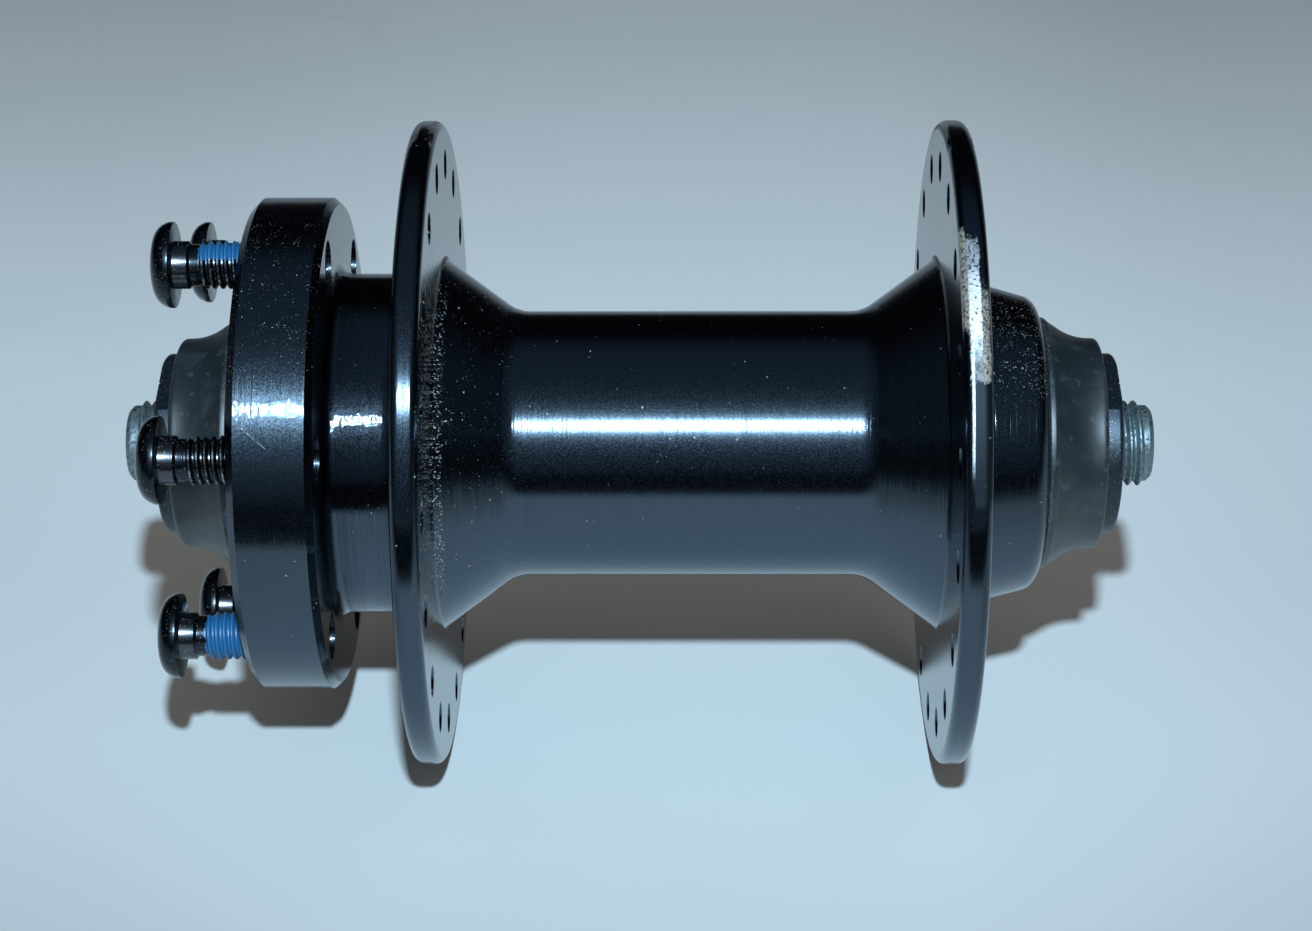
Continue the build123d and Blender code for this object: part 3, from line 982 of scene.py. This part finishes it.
class Lathe:
    """A mesh under construction, in millimetres, about one axle parallel to Y."""

    SEAM = 1e-4
    SHARP = math.radians(32.0)

    def __init__(self, axle: Point = (0.0, 0.0), steps: int = 64) -> None:
        """Start an empty mesh.

        Args:
            axle: The axle's place across and up.
            steps: Faces in one turn.
        """
        self.mesh = bmesh.new()
        self.centre = Vector((axle[0], 0.0, axle[1]))
        self.steps = steps

    def _at(self, radius: float, y: float, turn: float = 0.0) -> Vector:
        """Return the point at this radius, place along and turn."""
        return self.centre + Vector((radius * math.cos(turn), y, -radius * math.sin(turn)))

    def _about(self, vert: Vert) -> tuple[float, float, float]:
        """Return a vertex's radius, place along and turn about the axle."""
        offset = vert.co - self.centre
        return math.hypot(offset.x, offset.z), offset.y, math.atan2(-offset.z, offset.x)

    def _spin(self, geom: list[Any], **how: Any) -> None:
        """Spin vertices, edges or faces about the axle."""
        bmesh.ops.spin(self.mesh, geom=geom, cent=self.centre, axis=(0.0, 1.0, 0.0), **how)

    def turn(self, corners: list[Corner], closed: bool = False) -> list[Edge]:
        """Turn a half section once round the axle.

        Args:
            corners: The half section's corners.
            closed: Whether the last corner joins the first.

        Returns:
            The ring of edges that the last corner leaves.
        """
        outline = soften(corners, closed)
        verts = [self.mesh.verts.new(self._at(radius, y)) for radius, y in outline]
        pairs = list(zip(verts, verts[1:] + verts[:1])) if closed else list(zip(verts, verts[1:]))
        edges = [self.mesh.edges.new(pair) for pair in pairs]
        self._spin(verts + edges, angle=2 * math.pi, steps=self.steps, use_merge=True)
        last = outline[-1]
        return [edge for edge in self.mesh.edges if all(self._on_ring(vert, *last) for vert in edge.verts)]

    def _on_ring(self, vert: Vert, radius: float, y: float) -> bool:
        """Return whether a vertex lies on the ring of this radius and place along."""
        vert_r, vert_y, _ = self._about(vert)
        return abs(vert_r - radius) < self.SEAM and abs(vert_y - y) < self.SEAM

    def grow(self, ring: list[Edge], place: Callable[[float], Point]) -> list[Edge]:
        """Extrude a ring of edges into a new ring.

        Args:
            ring: The edges.
            place: Gives the new ring's radius and place along at a turn.

        Returns:
            The new ring's edges.
        """
        grown = bmesh.ops.extrude_edge_only(self.mesh, edges=ring)["geom"]
        for vert in (part for part in grown if isinstance(part, Vert)):
            turn = self._about(vert)[2]
            vert.co = self._at(*place(turn), turn)
        return [part for part in grown if isinstance(part, Edge)]

    def close(self, ring: list[Edge], y: float) -> None:
        """Close a ring of edges to a point on the axle.

        Args:
            ring: The edges.
            y: The point's place along.
        """
        tip = self.grow(ring, lambda turn: (self.SEAM, y))
        verts = list({vert for edge in tip for vert in edge.verts})
        bmesh.ops.pointmerge(self.mesh, verts=verts, merge_co=self._at(0.0, y))

    def wind(self, thread: Thread, core_r: float) -> None:
        """Wind a right-hand thread round the axle, sunk a little into its core.

        Args:
            thread: The thread.
            core_r: The core's radius.
        """
        sunk_r, crest_r = core_r - thread.sunk, thread.crest_r
        root, crest = thread.pitch / 2 - thread.root_flat, thread.crest
        section = [(sunk_r, -root), (crest_r, -crest), (crest_r, crest), (sunk_r, root)]
        before = set(self.mesh.verts)
        low = thread.low + root
        verts = [self.mesh.verts.new(self._at(radius, low + y)) for radius, y in section]
        face = self.mesh.faces.new(verts)
        turns = (thread.high - thread.low - 2 * root) / thread.pitch
        steps = round(turns * self.steps)
        rise = (0.0, turns * thread.pitch / steps, 0.0)
        self._spin([face], dvec=rise, angle=turns * 2 * math.pi, steps=steps)
        for vert in set(self.mesh.verts) - before:
            radius, y, turn = self._about(vert)
            vert.co = self._at(sunk_r + (radius - sunk_r) * thread.fade(y), y, turn)

    def finish(self, name: str) -> Object:
        """Finish the mesh and bring it to metres.

        Args:
            name: The piece's name.

        Returns:
            The piece, linked to the scene.
        """
        bmesh.ops.remove_doubles(self.mesh, verts=self.mesh.verts, dist=self.SEAM)
        bmesh.ops.recalc_face_normals(self.mesh, faces=self.mesh.faces)
        for face in self.mesh.faces:
            face.smooth = True
        for edge in self.mesh.edges:
            edge.smooth = edge.calc_face_angle(0.0) < self.SHARP
        bmesh.ops.scale(self.mesh, vec=(MM, MM, MM), verts=self.mesh.verts)
        data = bpy.data.meshes.new(name)
        self.mesh.to_mesh(data)
        self.mesh.free()
        LOG.info("%s: %d faces", name, len(data.polygons))
        return link(name, data)


def link(name: str, data: bpy.types.ID) -> Object:
    """Put a mesh, lamp or camera in the scene.

    Args:
        name: Its name.
        data: The mesh, lamp or camera.

    Returns:
        Its object.
    """
    piece = bpy.data.objects.new(name, data)
    bpy.context.scene.collection.objects.link(piece)
    return piece


def join(piece: Object, finish: Material, body: str, node: str) -> None:
    """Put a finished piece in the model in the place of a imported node.

    Args:
        piece: The piece.
        finish: Its material.
        body: The body that it moves with.
        node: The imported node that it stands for.
    """
    piece.data.materials.append(finish)
    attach(piece, body)
    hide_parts(node)
    LOG.info("%s stands for %s and wears %s", piece.name, node, finish.name)


@dataclass(frozen=True)
class RotorBolt:
    """An M5 rotor bolt with a button head and a six-lobed socket, part of the way out of its hole."""

    number: int
    turn: float
    seat_y: float
    patch: Patch
    circle_r: float = 22.0
    steps: int = 48
    head_r: float = 4.4
    head_rim: float = 0.55
    head_height: float = 2.15
    head_rounds: Point = (0.12, 0.2)
    dome: Corner = Corner(3.95, 1.78, 1.9, 8)
    crown: Corner = Corner(2.45, 2.15, 0.3)
    crown_r: float = 2.35
    shank_r: float = 2.45
    seat_round: float = 0.04
    shoulder_length: float = 1.5
    neck_r: float = 2.12
    neck_slopes: Point = (0.25, 0.15)
    neck_rounds: Point = (0.15, 0.1)
    core_r: float = 2.04
    thread_start: float = 2.55
    pitch: float = 0.8
    length: float = 10.0
    tip_chamfer: float = 0.5
    edge_round: float = 0.1
    socket_r: float = 1.94
    socket_lobe: float = 0.26
    lobes: int = 6
    socket_chamfer: float = 0.08
    socket_depth: float = 1.8
    socket_cone: float = 0.3

    @property
    def axle(self) -> Point:
        """The bolt's place across and up."""
        turn = math.radians(self.turn)
        return self.circle_r * math.cos(turn), self.circle_r * math.sin(turn)

    @property
    def thread_y(self) -> float:
        """Where the thread starts under the head."""
        return self.seat_y - self.thread_start

    def build(self) -> Object:
        """Build the bolt: body, socket and wound thread.

        Returns:
            The bolt.
        """
        lathe = Lathe(self.axle, self.steps)
        seat, top, tip = self.seat_y, self.seat_y + self.head_height, self.seat_y - self.length
        shoulder_y, chamfer_y = seat - self.shoulder_length, tip + self.tip_chamfer
        ring = lathe.turn(
            [
                Corner(0.0, tip),
                Corner(self.core_r - self.tip_chamfer, tip, self.edge_round),
                Corner(self.core_r, chamfer_y),
                Corner(self.core_r, self.thread_y),
                Corner(self.neck_r, self.thread_y + self.neck_slopes[1], self.neck_rounds[1]),
                Corner(self.neck_r, shoulder_y - self.neck_slopes[0], self.neck_rounds[0]),
                Corner(self.shank_r, shoulder_y, self.edge_round),
                Corner(self.shank_r, seat, self.seat_round),
                Corner(self.head_r, seat, self.head_rounds[0]),
                Corner(self.head_r, seat + self.head_rim, self.head_rounds[1]),
                Corner(self.dome.radius, seat + self.dome.y, self.dome.round, self.dome.steps),
                Corner(self.crown.radius, seat + self.crown.y, self.crown.round),
                Corner(self.crown_r, top),
            ]
        )
        for out, down in ((self.socket_chamfer, 0.0), (0.0, self.socket_chamfer), (0.0, self.socket_depth)):
            ring = lathe.grow(ring, lambda turn: (self._socket_r(turn) + out, top - down))
        lathe.close(ring, top - self.socket_depth - self.socket_cone)
        lathe.wind(Thread(chamfer_y, self.thread_y, self.pitch, self.shank_r), self.core_r)
        return lathe.finish(f"rotor_bolt_{self.number}")

    def _socket_r(self, turn: float) -> float:
        """Return the lobed socket's radius at a turn."""
        return self.socket_r + self.socket_lobe * math.cos(self.lobes * turn)

    def dress(self, piece: Object) -> None:
        """Give the bolt its finish and its place in the model.

        Args:
            piece: The bolt.
        """
        shoulder_y = self.seat_y - self.shoulder_length
        finish = BoltFinish(self.number, self.axle, self.thread_y, shoulder_y, self.shank_r, self.patch)
        join(piece, finish.build(), f"disc_bolt_{self.number}", f"disc_bolt_{self.number}")


@dataclass(frozen=True)
class BoltCircle:
    """The rotor bolts round the mount, each backed out of its hole by its own length."""

    first_turn: float = 36.4
    face_y: float = 40.0
    backed_out: tuple[float, ...] = (7.05, 7.1, 6.8, 6.95, 6.45, 6.5)
    patches: tuple[Patch, ...] = (
        Patch(60.0, 70.0),
        Patch(102.0, 92.0),
        Patch(200.0, 5.0),
        Patch(0.0, 130.0),
        Patch(90.0, 80.0),
        Patch(60.0, 60.0),
    )

    def bolts(self) -> list[RotorBolt]:
        """Lay out the bolts.

        Returns:
            The bolts, in the order of their numbers.
        """
        step = 360.0 / len(self.backed_out)
        return [
            RotorBolt(place + 1, self.first_turn + step * place, self.face_y + out, patch)
            for place, (out, patch) in enumerate(zip(self.backed_out, self.patches))
        ]


@dataclass(frozen=True)
class Axle:
    """The hollow axle, with a wound thread at each end."""

    half_length: float = 54.0
    nut_y: float = 49.7
    bore_r: float = 2.7
    bore_chamfer: float = 0.4
    axle_r: float = 4.5
    core_r: float = 4.02
    slope: float = 0.3
    chamfer: float = 0.45
    end_rounds: tuple[float, float, float] = (0.2, 0.15, 0.1)
    pitch: float = 1.0
    run_out: float = 0.55
    under_nut: float = 0.6
    steps: int = 72
    colour: Colour = (0.24, 0.32, 0.34)
    rough: float = 0.4
    dirty: Cloud = Cloud(Grain(2.2, 5.0, 0.65), Ramp(0.44, 0.64, 0.95))

    def build(self) -> Object:
        """Build the axle: a tube and two threads.

        Returns:
            The axle.
        """
        lathe = Lathe(steps=self.steps)
        outer, edge, inner = self.end_rounds
        end = self.half_length - self.chamfer
        half = [
            Corner(self.axle_r, self.nut_y - self.slope),
            Corner(self.core_r, self.nut_y),
            Corner(self.core_r, end, outer),
            Corner(self.core_r - self.chamfer, self.half_length, edge),
            Corner(self.bore_r + self.bore_chamfer, self.half_length, inner),
            Corner(self.bore_r, self.half_length - self.bore_chamfer),
        ]
        other = [Corner(corner.radius, -corner.y, corner.round, corner.steps) for corner in reversed(half)]
        lathe.turn(half + other, closed=True)
        start = self.nut_y - self.under_nut
        for low, high in ((start, end), (-end, -start)):
            lathe.wind(Thread(low, high, self.pitch, self.axle_r, self.run_out), self.core_r)
        return lathe.finish("axle_tube")

    def dress(self, piece: Object) -> None:
        """Give the axle its finish and its place in the model."""
        finish = MetalFinish("dirty_zinc", self.colour, self.rough, dirty=self.dirty)
        join(piece, finish.build(), "axle_assembly", "axle")


@dataclass(frozen=True)
class DustBoot:
    """A rubber bell round the locknut, with a soft lip that runs beside the shell."""

    side: Side
    lip_y: float = 41.88
    lip_round: float = 0.25
    skirt_r: float = 13.3
    skirt_rise: float = 0.7
    skirt_round: float = 0.3
    waist_r: float = 12.9
    waist_rise: float = 1.15
    waist_round: float = 0.5
    bell_r: float = 11.1
    bell_drop: float = 2.6
    bell_round: float = 6.0
    collar_r: float = 11.12
    collar_y: float = 48.28
    collar_round: float = 0.5
    seat_r: float = 8.64
    seat_y: float = 46.9
    seat_rounds: Point = (0.1, 0.12)
    wall: float = 1.2
    inner_round: float = 0.3
    collar_steps: int = 5
    bell_steps: int = 8
    lip_steps: int = 4
    steps: int = 96

    @property
    def name(self) -> str:
        """The name of the boot's side."""
        return self.side.name.lower()

    def build(self) -> Object:
        """Build the boot.

        Returns:
            The boot.
        """
        corners = [
            Corner(self.seat_r, self.seat_y, self.seat_rounds[0]),
            Corner(self.seat_r, self.collar_y, self.seat_rounds[1]),
            Corner(self.collar_r, self.collar_y, self.collar_round, self.collar_steps),
            Corner(self.bell_r, self.collar_y - self.bell_drop, self.bell_round, self.bell_steps),
            Corner(self.waist_r, self.lip_y + self.waist_rise, self.waist_round, self.lip_steps),
            Corner(self.skirt_r, self.lip_y + self.skirt_rise, self.skirt_round, self.lip_steps),
            Corner(self.skirt_r, self.lip_y, self.lip_round, self.lip_steps),
            Corner(self.skirt_r - self.wall, self.lip_y, self.lip_round, self.lip_steps),
            Corner(self.collar_r - self.wall, self.seat_y, self.inner_round),
        ]
        sign = self.side.value
        lathe = Lathe(steps=self.steps)
        lathe.turn([Corner(c.radius, c.y * sign, c.round, c.steps) for c in corners], closed=True)
        return lathe.finish(f"boot_{self.name}")

    def dress(self, piece: Object, rubber: Material) -> None:
        """Give the boot its finish and its place in the model."""
        join(piece, rubber, "axle_assembly", f"dust_boot_{self.name}")


@dataclass(frozen=True)
class Viewpoint:
    """The camera, where the photograph was taken from."""

    distance: float = 300.0 * MM
    lens: float = 77.5
    sensor: float = 36.0
    near: float = 10.0 * MM
    far: float = 20.0
    stand_y: float = -5.267 * MM
    aim_y: float = -1.763 * MM
    aim_drop: float = 2.39 * MM

    def build(self) -> None:
        """Set up the scene's camera."""
        stand = Vector((0.0, self.stand_y, 0.0)) + Vector((-FRONT_RUN, 0.0, FRONT_RISE)) * self.distance
        aim = Vector((0.0, self.aim_y, 0.0)) - Vector((FRONT_RISE, 0.0, FRONT_RUN)) * self.aim_drop
        forward = (aim - stand).normalized()
        right = Vector((0.0, -1.0, 0.0))
        right = (right - forward * right.dot(forward)).normalized()
        data = bpy.data.cameras.new("camera")
        data.lens, data.sensor_width = self.lens, self.sensor
        data.clip_start, data.clip_end = self.near, self.far
        camera = link("camera", data)
        turn = Matrix((right, right.cross(forward), -forward)).transposed().to_4x4()
        camera.matrix_world = Matrix.Translation(stand) @ turn
        bpy.context.scene.camera = camera


@dataclass(frozen=True)
class Studio:
    """Table, key lamp and the dim room round them."""

    table_z: float = -34.0 * MM
    table_half: float = 4.0
    lamp_place: Place = (-309.0 * MM, -13.0 * MM, 284.0 * MM)
    lamp_radius: float = 8.0 * MM
    lamp_colour: Colour = (0.573, 0.8, 0.99)
    lamp_power: float = 68.0
    ambient: Colour = (0.26, 0.255, 0.25)
    backdrop: Colour = (0.47, 0.62, 0.72)
    dark: Colour = (0.005, 0.005, 0.006)
    ceiling: Colour = (0.06, 0.09, 0.13)
    ceiling_lean: Point = (0.45, 0.9)
    ceiling_edge: Ramp = Ramp(0.25, 0.7)
    # Painted shade: a black card that only reflections see
    flag_x: float = -123.0 * MM
    flag_top: float = 6.0 * MM
    flag_half: float = 0.6
    flag_colour: Colour = (0.003, 0.003, 0.003)
    flag_rough: float = 0.9

    def build(self) -> None:
        """Build the table, the lamp, the world and the reflection flag."""
        self._table()
        self._lamp()
        self._world()
        self._flag()

    @staticmethod
    def _plane(name: str, corners: list[Place], material: Material) -> Object:
        """Make a flat stage object.

        Args:
            name: Its name.
            corners: Its corners in order.
            material: Its material.

        Returns:
            The object.
        """
        mesh = bpy.data.meshes.new(name)
        mesh.from_pydata(corners, [], [tuple(range(len(corners)))])
        mesh.materials.append(material)
        plane = link(name, mesh)
        return plane

    def _table(self) -> None:
        """Lay the pale table."""
        half, z = self.table_half, self.table_z
        corners = [(-half, -half, z), (half, -half, z), (half, half, z), (-half, half, z)]
        self._plane("table", corners, TableFinish().build(self.backdrop))

    def _lamp(self) -> None:
        """Hang the key lamp behind the camera, with light that doesn't fade with distance."""
        data = bpy.data.lights.new("key", "POINT")
        data.energy, data.color, data.shadow_soft_size = self.lamp_power, self.lamp_colour, self.lamp_radius
        data.use_nodes = True
        bench = Bench(data.node_tree)
        steady = bench.node("ShaderNodeLightFalloff", None, {"Strength": 1.0}).outputs["Constant"]
        light = bench.node("ShaderNodeEmission", None, {"Color": (1.0, 1.0, 1.0), "Strength": steady})
        bench.node("ShaderNodeOutputLight", None, {"Surface": light.outputs[0]})
        link("key", data).location = self.lamp_place

    def _world(self) -> None:
        """Fill the room: pale for the camera, dim and neutral for soft light, dark for reflections."""
        world = bpy.data.worlds.new("room")
        bpy.context.scene.world = world
        world.use_nodes = True
        bench = Bench(world.node_tree)
        ray = bench.node("ShaderNodeLightPath").outputs
        x, _, z = bench.parts(bench.node("ShaderNodeTexCoord").outputs["Generated"])
        front, up = self.ceiling_lean
        mirrored = bench.mix((z * up - x * front).on(self.ceiling_edge), self.dark, self.ceiling)
        colour = bench.mix(Wire(bench, ray["Is Glossy Ray"]), self.ambient, mirrored)
        colour = bench.mix(Wire(bench, ray["Is Camera Ray"]), colour, self.backdrop)
        light = bench.node("ShaderNodeBackground", None, {"Color": colour, "Strength": 1.0})
        bench.node("ShaderNodeOutputWorld", None, {"Surface": light.outputs[0]})

    def _flag(self) -> None:
        """Stand a black card in front of the table, which only reflections see: painted shade, standing in for
        an unlit table in front.
        """
        x, y, low, top = self.flag_x, self.flag_half, self.table_z, self.flag_top
        material, bench = new_material("flag_black")
        bench.surface(Base_Color=self.flag_colour, Roughness=self.flag_rough)
        flag = self._plane("flag", [(x, -y, low), (x, y, low), (x, y, top), (x, -y, top)], material)
        flag.visible_camera = flag.visible_diffuse = flag.visible_shadow = False


def dress(frame: dict[str, Any]) -> dict[Slot, Material]:
    """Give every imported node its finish.


    Returns:
        The finish of each slot.
    """
    faint = Cloud(Grain(1.4, 5.0, 0.65), Ramp(0.44, 0.64, 0.1))
    finishes = {
        Slot.SHELL: ShellFinish(),
        Slot.ZINC: MetalFinish("zinc_plate", colour=(0.34, 0.37, 0.38), rough=0.3),
        Slot.RACE: MetalFinish("ground_steel", colour=(0.45, 0.45, 0.46), rough=0.25),
        Slot.PLAIN: MetalFinish("plain_steel", colour=(0.32, 0.33, 0.34), rough=0.35),
        Slot.POLISHED: MetalFinish("polished_steel", colour=(0.6, 0.6, 0.62), rough=0.08, dirty=faint),
        Slot.BLACK: NutFinish(),
        Slot.RUBBER: RubberFinish(),
    }
    slots = {
        "axle": Slot.ZINC,
        "hub_shell": Slot.SHELL,
        "cone": Slot.RACE,
        "lock_washer": Slot.PLAIN,
        "locknut": Slot.BLACK,
        "seal": Slot.RUBBER,
        "dust_boot": Slot.RUBBER,
        "bearing_cup": Slot.RACE,
        "balls": Slot.POLISHED,
        "ball_retainer": Slot.PLAIN,
        "dust_cap": Slot.PLAIN,
        "disc_bolt": Slot.BLACK,
    }
    built = {slot: finish.build() for slot, finish in finishes.items()}
    for name, node in frame["nodes"].items():
        slot = next(slot for stem, slot in slots.items() if name.startswith(stem))
        node.data.materials.clear()
        node.data.materials.append(built[slot])
        LOG.info("%s wears %s", name, built[slot].name)
    return built


def add_pieces(finishes: dict[Slot, Material]) -> None:
    """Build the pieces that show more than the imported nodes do.

    Args:
        finishes: The finish of each slot.
    """
    axle = Axle()
    axle.dress(axle.build())
    for side in Side:
        boot = DustBoot(side)
        boot.dress(boot.build(), finishes[Slot.RUBBER])
    for bolt in BoltCircle().bolts():
        bolt.dress(bolt.build())


def main() -> None:
    """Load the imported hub, add its finer pieces, dress it all and set up the studio."""
    logging.basicConfig(level=logging.INFO, format="%(name)s: %(message)s")
    for leftover in list(bpy.data.objects):
        bpy.data.objects.remove(leftover)
    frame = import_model()
    bpy.context.scene.view_settings.view_transform = "Standard"
    add_pieces(dress(frame))
    Studio().build()
    Viewpoint().build()


if __name__ == "__main__":
    main()
